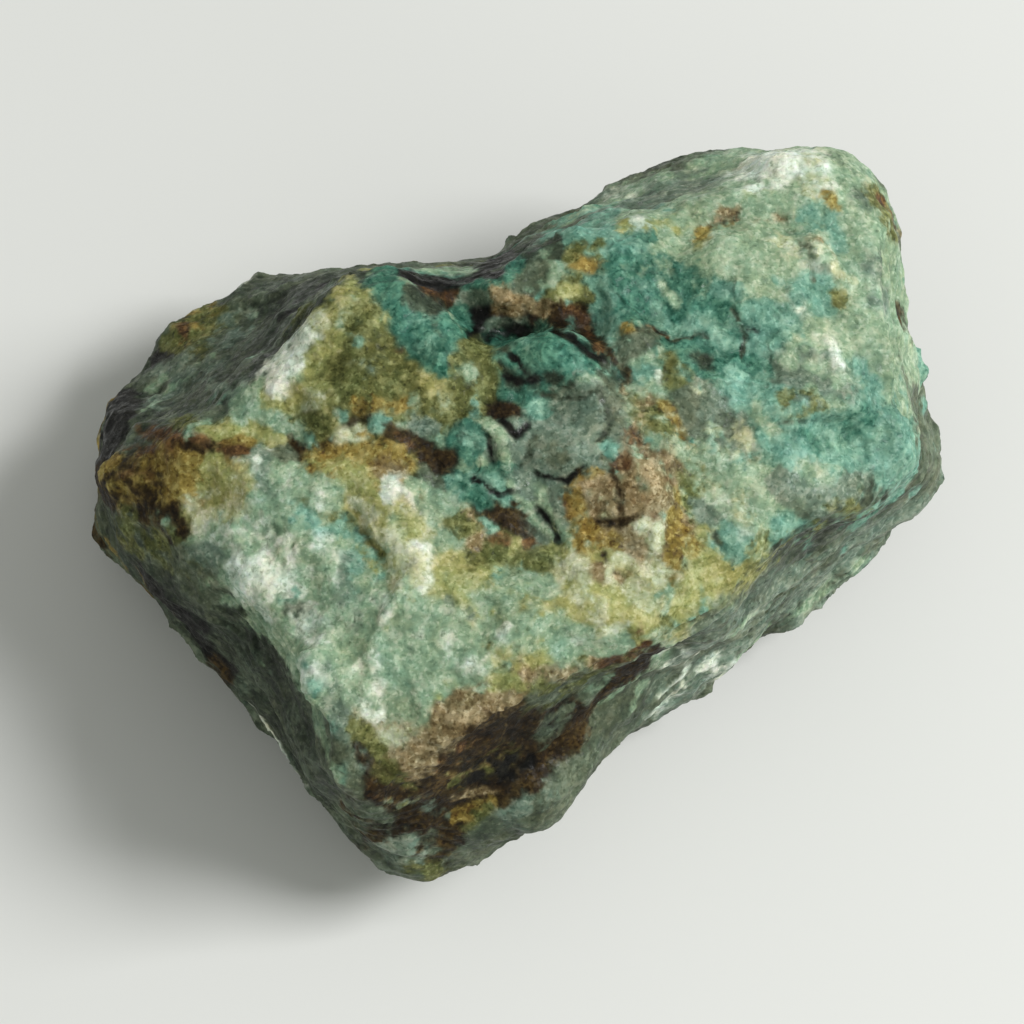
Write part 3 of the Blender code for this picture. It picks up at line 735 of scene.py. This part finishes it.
def fractal(points, size, octaves, seed):
    """Smooth noise with finer and fainter noise over it, about -1 to 1."""
    layers = [noise(points, size / 2**step, seed + 7 * step) / 1.8**step for step in range(octaves)]
    return sum(layers) / 1.4


def warp(points, size, seed):
    """Smooth noise along each axis, to bend places with."""
    return np.stack([noise(points, size, seed + 11 * axis) for axis in range(3)], axis=1)


def neighbours(spot, seed):
    """The lattice cells at and round each place, each with the way from its own scattered point."""
    home = np.floor(spot)
    for step in itertools.product((-1, 0, 1), repeat=3):
        cell = home + step
        yield cell, spot - cell - hashed_vector(cell, seed)


def cells(points, size, seed):
    """Nearest scattered point: its distance in sizes, its lattice cell and the way from it."""
    spot = turned(points, size, seed)
    nearest = np.full(len(points), np.inf)
    owner = np.zeros_like(spot)
    way = np.zeros_like(spot)
    for cell, offset in neighbours(spot, seed):
        away = np.sqrt((offset**2).sum(axis=1))
        closer = away < nearest
        nearest[closer] = away[closer]
        owner[closer] = cell[closer]
        way[closer] = offset[closer]
    return nearest, owner, way


def facets(points, size, seed):
    """Tilted shallow bowls that meet in sharp ridges, as broken rock has: about -0.5 to 0.5."""
    lowest = np.full(len(points), np.inf)
    for cell, offset in neighbours(turned(points, size, seed), seed):
        tilt = hashed_vector(cell, seed + 5) - 0.5
        level = (offset**2).sum(axis=1) + 1.3 * (tilt * offset).sum(axis=1)
        lowest = np.minimum(lowest, level + 0.35 * hashed(cell, seed + 9))
    return lowest - 0.35


def ease(value, low, high):
    """0 up to low and 1 from high on, with a smooth step between."""
    share = np.clip((value - low) / (high - low), 0.0, 1.0)
    return share * share * (3.0 - 2.0 * share)


# -------------------- camera


def camera_axes():
    """Right, up and backward directions of the photograph's view."""
    level = math.cos(ELEVATION)
    back = Vector((math.sin(AZIMUTH) * level, -math.cos(AZIMUTH) * level, math.sin(ELEVATION)))
    right = Vector((0.0, 1.0, 0.0)).cross(back).normalized()
    return right, back.cross(right), back


def placed(name, data):
    """A new object in the scene."""
    obj = bpy.data.objects.new(name, data)
    bpy.context.scene.collection.objects.link(obj)
    return obj


def make_camera():
    right, up, back = camera_axes()
    data = bpy.data.cameras.new("photo_view")
    data.sensor_width = SENSOR
    data.lens = SENSOR * DISTANCE / (SHOWN_PIXELS / PIXELS_PER_M)
    data.clip_start = 0.01
    camera = placed("photo_view", data)
    place = Matrix((right, up, back)).transposed().to_4x4()
    place.translation = TARGET + back * DISTANCE
    camera.matrix_world = place
    bpy.context.scene.camera = camera


# -------------------- fine copy


def applied(obj):
    """Makes the modified surface the object's own."""
    graph = bpy.context.evaluated_depsgraph_get()
    made = bpy.data.meshes.new_from_object(obj.evaluated_get(graph))
    obj.modifiers.clear()
    obj.data = made


def fine_copy(node):
    """A new object with the CAD surface, evenly and finely meshed."""
    stone = placed("chrysocolla_stone", node.data.copy())
    stone.matrix_world = node.matrix_world.copy()
    remesh = stone.modifiers.new("fine", "REMESH")
    remesh.mode = "VOXEL"
    remesh.voxel_size = VOXEL * MM
    remesh.use_smooth_shade = True
    soften = stone.modifiers.new("soften", "SMOOTH")
    soften.factor = 0.5
    soften.iterations = SOFTEN
    applied(stone)
    return stone


def vertex_arrays(mesh):
    """Places in mm, and normals."""
    count = len(mesh.vertices) * 3
    points = np.empty(count, np.float32)
    mesh.vertices.foreach_get("co", points)
    normals = np.empty(count, np.float32)
    mesh.vertex_normals.foreach_get("vector", normals)
    return points.reshape(-1, 3).astype(float) / MM, normals.reshape(-1, 3).astype(float)


def set_attribute(mesh, name, kind, values):
    made = mesh.attributes.new(name, kind, "POINT")
    field = "value" if kind == "FLOAT" else "vector"
    made.data.foreach_set(field, np.ascontiguousarray(values, np.float32).ravel())


# -------------------- minerals


def surface_finder(obj):
    """Two ways to a place on the stone, in mm: by a pixel of the photograph, and by bearing and height."""
    bpy.context.view_layer.update()
    tree = BVHTree.FromObject(obj, bpy.context.evaluated_depsgraph_get())
    right, up, back = camera_axes()
    eye = TARGET + back * DISTANCE
    focal = PIXELS_PER_M * DISTANCE
    well_outside = 0.1

    def by_pixel(pixel):
        across = (pixel[0] - MIDDLE_PIXEL[0]) / focal
        above = (MIDDLE_PIXEL[1] - pixel[1]) / focal
        ray = right * across + up * above - back
        hit = tree.ray_cast(eye, ray.normalized())[0]
        if hit is None:
            level = eye + ray * ((eye.z - TARGET.z) / -ray.z)
            hit = tree.find_nearest(level)[0]
        return np.array(hit) / MM

    def by_bearing(place):
        bearing = math.radians(place[0])
        inward = Vector((-math.cos(bearing), -math.sin(bearing), 0.0))
        start = Vector((0.0, 0.0, place[1] * MM)) - inward * well_outside
        return np.array(tree.ray_cast(start, inward)[0]) / MM

    return by_pixel, by_bearing


def distance_to_path(points, path):
    """How far each point is from a path of straight stretches, in three dimensions."""
    nearest = np.full(len(points), np.inf)
    for start, end in zip(path, path[1:]):
        run = end - start
        along = np.clip((points - start) @ run / max(run @ run, 1.0e-9), 0.0, 1.0)
        away = points - start - along[:, None] * run
        nearest = np.minimum(nearest, np.sqrt((away**2).sum(axis=1)))
    return nearest


def swollen(points, finder):
    """How far each place moves out to meet the photograph's outline."""
    total = np.zeros(len(points))
    for half, rise, path in SWELLS:
        away = distance_to_path(points, [finder(place) for place in path])
        total += rise / (1.0 + (away / half) ** 4)
    return total


def ground(points, normals):
    """Shares of the minerals before any mark: pale crust above, layered rock on the sides."""
    crust = ease(normals[:, 2] + 0.12 * fractal(points, 2.0, 3, 5), 0.35, 0.55)
    crust *= ease(points[:, 2] + 1.2 * fractal(points, 3.0, 3, 7), 17.0, 19.5)
    green = ease(fractal(points, 2.6, 3, 17), -0.4, 0.6)
    layer = 0.6 * ease(fractal(points * (1.0, 1.0, 2.2), 8.0, 3, 23), -0.2, 0.9)
    pale = 0.7 * ease(fractal(points * (1.0, 1.0, 1.6), 6.0, 3, 31), 0.1, 1.0)
    side = 1.0 - crust
    shares = np.zeros((len(points), len(NAMES)))
    shares[:, NAMES.index("mint")] = crust * (1.0 - green)
    shares[:, NAMES.index("turquoise")] = crust * green
    shares[:, NAMES.index("grey")] = side * pale
    shares[:, NAMES.index("slate")] = side * (1.0 - pale) * layer
    shares[:, NAMES.index("rock")] = side * (1.0 - pale) * (1.0 - layer)
    return shares


def shortened(points, depth):
    """The points with their depth along the view cut to this share."""
    back = np.array(camera_axes()[2])
    return points - (1.0 - depth) * (points @ back)[..., None] * back


def inside(points, places, reach):
    """Which points lie in the box round these places, wider by reach on every side."""
    low = np.min(places, axis=0) - reach
    high = np.max(places, axis=0) + reach
    return np.flatnonzero(((points > low) & (points < high)).all(axis=1))


def lay_marks(points, shares, marks, finder, depth, seen):
    """Lays each mark over what is there, in the list's order, and gives how far they rise.

    A fine vein keeps closer to its path, and has a sharper edge, than a wide patch. A partial cover breaks up
    into patches, which take turns from mark to mark. Where seen is 0, the marks leave the stone as it is.
    """
    bend = shortened(0.28 * warp(points, 1.9, 41) + 0.17 * warp(points, 0.7, 59), depth)
    ragged = fractal(points, 0.7, 3, 83)
    wobble = noise(points, 2.0, 89)
    patches = fractal(points, 1.2, 3, 97)
    rise = np.zeros(len(points))
    points = shortened(points, depth)
    for number, (mineral, half, cover, height, path) in enumerate(marks):
        places = shortened(np.array([finder(place) for place in path]), depth)
        near = inside(points, places, half * 2.5 + 1.5)
        loose = min(1.0, 0.25 + 0.6 * half)
        frayed = min(0.5, 0.08 + 0.28 * half)
        soft = min(0.95, 0.14 + 0.45 * half)
        away = distance_to_path(points[near] + loose * bend[near], places)
        edge = half * (1.0 + 0.4 * wobble[near]) - away + ragged[near] * frayed
        share = ease(edge, -soft, soft)
        if cover < 1.0:
            sign = 1.0 if number % 2 else -1.0
            share = share * np.clip(cover + 0.9 * sign * patches[near], 0.0, 1.0)
        share = share * seen[near]
        shares[near] *= (1.0 - share)[:, None]
        shares[near, NAMES.index(mineral)] += share
        rise[near] += height / (1.0 + (away / half) ** 4)
    return rise


# -------------------- relief


def lumps_at(points):
    """Rounded lumps of two sizes, with creases between them."""
    curled = points + 0.5 * warp(points, 1.6, 101)
    lumps = 0.55 * (1.1 - 2.6 * cells(curled, 1.5, 103)[0] ** 2)
    lumps += 0.30 * (1.1 - 2.6 * cells(curled, 0.75, 113)[0] ** 2)
    return lumps + 0.60 * (0.5 - 2.2 * np.abs(noise(curled, 1.1, 127)))


def grains_at(points):
    """Crystal grains, each with a flat tilted face at a height of its own."""
    _, owner, way = cells(points, 0.65, 131)
    tilt = hashed_vector(owner, 137) * 2.0 - 1.0
    return (tilt * way).sum(axis=1) * 1.3 + hashed(owner, 149) - 0.5


def crumbs_at(points):
    """Loose crumbs and small chips."""
    chips = 1.2 * facets(points, 1.3, 151) + 0.8 * facets(points, 0.6, 157)
    return chips + 0.4 * noise(points, 0.7, 159)


def scars_at(points):
    """Scars of the break, from wide to small, flattened along the layers."""
    drawn = points * (1.0, 1.0, 1.35) + warp(points, 4.0, 171)
    scars = 0.55 * facets(drawn, 5.5, 173) + 0.24 * facets(drawn, 2.1, 177)
    return scars + 0.08 * facets(points, 0.9, 179)


def steps_at(points):
    """Low steps where the layers break off, in places."""
    tier = points[:, 2] * 1.15 + 0.12 * points[:, 0] + 1.1 * noise(points, 5.0, 181)
    steps = tier - np.floor(tier)
    steps = steps * ease(noise(points, 6.0, 191), -0.1, 0.4) * (1.0 - ease(steps, 0.82, 1.0))
    return 0.20 * (steps - 0.25)


def relief(points, normals, shares, guessed):
    """Height of the fine surface over the smooth one, in mm, by what each place is made of.

    The steep sides have scars and steps too, more so where guessed is 1, out of the photograph's sight.
    """
    lumps_by, grains_by, crumbs_by = (shares @ RELIEF_SIZES).T
    height = lumps_by * lumps_at(points) + grains_by * grains_at(points) + crumbs_by * crumbs_at(points)
    height += 0.10 * fractal(points, 3.2, 2, 163) + 0.12 * facets(points, 2.4, 197)
    side = 1.0 - ease(np.abs(normals[:, 2]), 0.35, 0.65)
    return height + side * (1.0 + 1.2 * guessed) * (scars_at(points) + steps_at(points))


def moved(stone, points, normals, lift):
    """Moves the surface out by this much, never below the floor, and gives the new places."""
    points = points + normals * lift[:, None]
    points[:, 2] = np.maximum(points[:, 2], 0.0)
    stone.data.vertices.foreach_set("co", (points * MM).astype(np.float32).ravel())
    stone.data.update()
    return points


def keep_attributes(mesh, shares, height):
    """Keeps the minerals, three to an attribute, their relief, and the height that the material turns into
    painted light on high places and painted shade in hollows.
    """
    for number in range(len(NAMES) // 3):
        set_attribute(mesh, f"minerals_{number}", "FLOAT_VECTOR", shares[:, 3 * number : 3 * number + 3])
    set_attribute(mesh, "relief_sizes", "FLOAT_VECTOR", shares @ RELIEF_SIZES)
    # this height becomes painted light on high places and painted shade in hollows
    set_attribute(mesh, "height", "FLOAT", np.clip(height / FULL_SHADE_HEIGHT, -1.0, 1.0))


def shape_stone(stone, node):
    """Minerals and relief of the fine copy, all but its flat underside, which stays as it is."""
    points, normals = vertex_arrays(stone.data)
    free = 1.0 - ease(-normals[:, 2], 0.5, 0.8) * ease(-points[:, 2], -1.2, -0.2)
    points = moved(stone, points, normals, free * swollen(points, surface_finder(node)[0]))
    by_pixel, by_bearing = surface_finder(stone)
    shares = ground(points, normals)
    facing = normals @ np.array(camera_axes()[2]) + 0.10 * fractal(points, 2.2, 3, 211)
    in_front = ease(facing, *FRONT_MARKS_FROM)
    on_sides = 1.0 - ease(facing, *SIDE_MARKS_UNTIL)
    rise = lay_marks(points, shares, marks_in(MARKS), by_pixel, VIEW_DEPTH, in_front)
    rise += lay_marks(points, shares, marks_in(SIDE_MARKS), by_bearing, 1.0, on_sides)
    height = relief(points, normals, shares, 1.0 - ease(facing, *ROUGHER_UNTIL))
    moved(stone, points, normals, free * (height + rise))
    # the height, with part of the marks' rise, sets the painted light on high places and painted shade in
    # hollows and recesses
    keep_attributes(stone.data, shares, height + 0.3 * rise)


def thin_out(stone):
    """Fewer triangles where the surface is plain."""
    stone.data.calc_loop_triangles()
    thin = stone.modifiers.new("thin", "DECIMATE")
    thin.ratio = min(1.0, MOST_TRIANGLES / len(stone.data.loop_triangles))
    applied(stone)
    stone.data.shade_smooth()


# -------------------- material


class Graph:
    """Adds nodes to a material, already linked."""

    def __init__(self, tree):
        self.tree = tree

    def add(self, kind, inputs, **settings):
        node = self.tree.nodes.new(kind)
        for key, value in settings.items():
            setattr(node, key, value)
        for key, value in inputs.items():
            if isinstance(value, bpy.types.NodeSocket):
                self.tree.links.new(value, node.inputs[key])
            else:
                node.inputs[key].default_value = value
        return node

    def value(self, operation, *terms, clamp=False):
        inputs = dict(enumerate(terms))
        return self.add("ShaderNodeMath", inputs, operation=operation, use_clamp=clamp).outputs[0]

    def stretch(self, value, factor, shift):
        """The value times the factor plus the shift, kept within 0 and 1."""
        return self.value("MULTIPLY_ADD", value, factor, shift, clamp=True)

    def vector(self, operation, *terms):
        return self.add("ShaderNodeVectorMath", dict(enumerate(terms)), operation=operation).outputs[0]

    def parts(self, vector):
        return self.add("ShaderNodeSeparateXYZ", {0: vector}).outputs

    def cloud(self, place, scale, detail, rough=0.5):
        """Blender's own noise, with this many features to each unit of the place."""
        inputs = {"Vector": place, "Scale": scale, "Detail": detail, "Roughness": rough}
        return self.add("ShaderNodeTexNoise", inputs)

    def noise(self, place, size, detail, rough=0.55):
        """Three noises at once, spread to about 0 to 1, with features of this size."""
        colour = self.cloud(place, 1.0 / size, detail, rough).outputs["Color"]
        return self.parts(self.vector("MULTIPLY_ADD", colour, (2.2,) * 3, (-0.6,) * 3))

    def crystals(self, place, size):
        """Flat tilted faces, one for each scattered crystal, about -0.5 to 0.5, and three chance tones."""
        made = self.add("ShaderNodeTexVoronoi", {"Vector": place, "Scale": 1.0 / size})
        way = self.vector("SUBTRACT", place, made.outputs["Position"])
        tilt = self.vector("MULTIPLY_ADD", made.outputs["Color"], (1.6 / size,) * 3, (-0.8 / size,) * 3)
        dot = self.add("ShaderNodeVectorMath", {0: way, 1: tilt}, operation="DOT_PRODUCT")
        return dot.outputs["Value"], self.parts(made.outputs["Color"])

    def weigh(self, base, *pairs):
        """The base plus each value times its weight."""
        total = base
        for value, weight in pairs:
            total = self.value("MULTIPLY_ADD", value, weight, total)
        return total

    def attribute(self, name, output):
        return self.add("ShaderNodeAttribute", {}, attribute_name=name).outputs[output]

    def ramp(self, place, tones):
        """Dark, middle and light tone, blended by a value from 0 to 1."""
        node = self.add("ShaderNodeValToRGB", {0: place})
        stops = node.color_ramp.elements
        stops.new(0.5)
        for stop, position, tone in zip(stops, (0.12, 0.5, 0.88), tones):
            stop.position = position
            stop.color = (*linear(tone), 1.0)
        return node.outputs[0]


class StoneLook(Graph):
    """The stone's colour, roughness and fine bumps, all from the same few noises."""

    def __init__(self, tree):
        super().__init__(tree)
        metres = self.add("ShaderNodeTexCoord", {}).outputs["Object"]
        self.place = self.vector("MULTIPLY", metres, (1.0 / MM,) * 3)
        bent = self.cloud(self.place, 0.7, 1.0).outputs["Color"]
        self.curled = self.vector("MULTIPLY_ADD", bent, (1.2,) * 3, self.place)
        self.coarse = self.noise(self.curled, 1.4, 2.0)
        self.patch = self.noise(self.curled, 0.9, 2.0, 0.5)
        self.fine = self.noise(self.place, 0.45, 1.5, 0.5)
        self.speck = self.noise(self.place, 0.34, 1.0)
        self.face, self.chance = self.crystals(self.place, 0.45)
        self.small_face, self.small_chance = self.crystals(self.place, 0.24)
        self.height = self.attribute("height", "Fac")
        self.lumps_by, self.grains_by, self.crumbs_by = self.parts(self.attribute("relief_sizes", "Vector"))
        self.shares = []
        for number in range(len(NAMES) // 3):
            self.shares += self.parts(self.attribute(f"minerals_{number}", "Vector"))
        self.folds = self.make_folds()

    def make_folds(self):
        """Thin curled layers in the copper minerals, in places."""
        swirl = self.cloud(self.curled, 0.5, 1.0).outputs[0]
        stripes = self.value("SINE", self.value("MULTIPLY", swirl, 30.0))
        return self.value("MULTIPLY", stripes, self.stretch(self.coarse[1], 2.5, -0.9))

    def spots(self):
        """Light flecks and patches, dark pits, and a chance tone for each crystal, about 0 on average."""
        fleck = self.stretch(self.speck[0], 5.0, -3.3)
        pit = self.stretch(self.speck[1], -5.0, 1.6)
        crisp = self.stretch(self.patch[0], 4.0, -1.5)
        grit = self.stretch(self.fine[1], 3.0, -1.0)
        crystals = ((self.chance[0], 0.20), (self.small_chance[0], 0.10))
        return self.weigh(-0.31, (fleck, 0.30), (pit, -0.30), *crystals, (crisp, 0.16), (grit, 0.16))

    def tones(self):
        """Where each place lies between a mineral's dark and light tone: in crust, and in layered rock. High
        places lean to the light tone and hollows to the dark one: painted light and shade.
        """
        spots = self.spots()
        layered = self.vector("MULTIPLY", self.curled, (0.4, 0.4, 1.6))
        bands = self.noise(layered, 1.4, 2.0)
        # the height terms paint light on high places and shade in hollows
        crust = ((self.coarse[0], 0.34), (self.fine[0], 0.20), (spots, 0.8), (self.height, 0.18))
        rock = ((self.coarse[1], 0.36), (self.fine[0], 0.20), (spots, 0.7), (self.height, 0.14))
        return self.weigh(0.23, *crust), self.weigh(0.08, (bands[0], 0.28), *rock)

    def share(self, number):
        """A mineral's share, with a ragged edge from its own mix of the noises."""
        first, second, third = number % 3, (number + 1) % 3, (number + 2) % 3
        ragged = ((self.patch[first], 0.60), (self.fine[second], 0.50), (self.speck[third], 0.12))
        broken = self.value("MAXIMUM", self.weigh(0.0, *ragged), 0.05)
        return self.value("POWER", self.value("MULTIPLY", self.shares[number], broken), 2.0)

    def minerals(self):
        """Colour and roughness of the minerals at each place, by their shares."""
        crust_tone, rock_tone = self.tones()
        colour, rough, total = (0.0, 0.0, 0.0), 0.0, 0.0001
        for number, (name, row) in enumerate(MINERALS.items()):
            share = self.share(number)
            tones = self.ramp(rock_tone if name in ("rock", "slate") else crust_tone, row[:3])
            colour = self.vector("MULTIPLY_ADD", tones, share, colour)
            rough = self.value("MULTIPLY_ADD", share, row[3], rough)
            total = self.value("ADD", share, total)
        return self.vector("DIVIDE", colour, total), self.value("DIVIDE", rough, total)

    def shaded(self, colour):
        """The colour, warmer and cooler in places, lighter on folds and quartz, and with painted light on
        high places and painted shade in hollows.
        """
        warm = self.noise(self.place, 2.2, 1.0)
        dust = self.noise(self.place, 0.20, 1.0)
        shift = self.weigh(-0.12, (warm[0], 0.14), (self.fine[1], 0.10))
        red = self.value("ADD", 1.0, shift)
        blue = self.value("MULTIPLY_ADD", shift, -0.6, 1.0)
        tint = self.add("ShaderNodeCombineXYZ", {0: red, 1: 1.0, 2: blue}).outputs[0]
        quartz = self.shares[NAMES.index("quartz")]
        # the height term is painted light on high places and painted shade in hollows
        light = ((self.height, 0.10), (dust[1], 0.03), (warm[1], 0.14), (quartz, 0.20))
        stripes = self.weigh(1.0, (self.value("MULTIPLY", self.folds, self.lumps_by), 1.3))
        brightness = self.value("MULTIPLY", self.weigh(0.635, *light), stripes)
        return self.vector("MULTIPLY", self.vector("MULTIPLY", colour, tint), brightness)

    def roughened(self, rough):
        """The roughness, with a chance share for each crystal, kept between glassy and dull."""
        rough = self.weigh(-0.25, (self.speck[1], 0.16), (self.chance[2], 0.34), (rough, 1.0))
        return self.value("MINIMUM", self.value("MAXIMUM", rough, 0.12), 0.95)

    def bumps(self):
        """Normal of the lumps, grains and crumbs that are finer than the mesh."""
        lumpy = self.value("MULTIPLY", self.lumps_by, self.weigh(self.coarse[2], (self.folds, 0.3)))
        faces = self.weigh(0.0, (self.face, 1.0), (self.small_face, 0.5))
        grainy = self.value("MULTIPLY", self.grains_by, faces)
        crumbly = self.value("MULTIPLY", self.crumbs_by, self.fine[2])
        rise = self.weigh(0.0, (lumpy, 0.8), (grainy, 1.3), (crumbly, 0.6))
        bump = self.add("ShaderNodeBump", {"Height": rise, "Strength": 1.0, "Distance": MM})
        return bump.outputs["Normal"]


def new_material(name):
    """A material, its node tree and its shader."""
    material = bpy.data.materials.new(name)
    material.use_nodes = True
    return material, material.node_tree, material.node_tree.nodes["Principled BSDF"]


def stone_material():
    material, tree, shader = new_material("chrysocolla_rock_face")
    look = StoneLook(tree)
    colour, rough = look.minerals()
    tree.links.new(look.shaded(colour), shader.inputs["Base Color"])
    tree.links.new(look.roughened(rough), shader.inputs["Roughness"])
    tree.links.new(look.bumps(), shader.inputs["Normal"])
    shader.inputs["Specular IOR Level"].default_value = SHINE
    return material


# -------------------- stage


def make_floor():
    """Plain pale floor, wide enough for every view."""
    mesh = bpy.data.meshes.new("floor")
    corners = [(x * FLOOR_REACH, y * FLOOR_REACH, 0.0) for x, y in ((-1, -1), (1, -1), (1, 1), (-1, 1))]
    mesh.from_pydata(corners, [], [(0, 1, 2, 3)])
    floor = placed("floor", mesh)
    material, tree, shader = new_material("pale_floor")
    graph = Graph(tree)
    place = graph.add("ShaderNodeTexCoord", {}).outputs["Object"]
    tones = graph.ramp(graph.cloud(place, 9.0, 2.0).outputs[0], FLOOR_TONES)
    tree.links.new(tones, shader.inputs["Base Color"])
    shader.inputs["Roughness"].default_value = 0.6
    mesh.materials.append(material)


def make_window():
    """Soft light from the right, aimed at the stone."""
    data = bpy.data.lights.new("window", "AREA")
    data.size = WINDOW_SIZE
    data.energy = WINDOW_POWER
    light = placed("window", data)
    light.location = WINDOW_PLACE
    light.rotation_euler = (-Vector(WINDOW_PLACE)).to_track_quat("-Z", "Y").to_euler()


def make_room():
    """Even light from all round."""
    world = bpy.data.worlds.new("soft_room")
    world.use_nodes = True
    sky = world.node_tree.nodes["Background"]
    sky.inputs["Color"].default_value = ROOM_TONE
    sky.inputs["Strength"].default_value = ROOM_STRENGTH
    bpy.context.scene.world = world
    bpy.context.scene.view_settings.view_transform = "Standard"


def main():
    make_camera()
    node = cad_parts[NODE]
    stone = fine_copy(node)
    shape_stone(stone, node)
    thin_out(stone)
    stone.data.materials.clear()
    stone.data.materials.append(stone_material())
    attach(stone, "root")
    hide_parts(NODE)
    make_floor()
    make_window()
    make_room()


main()
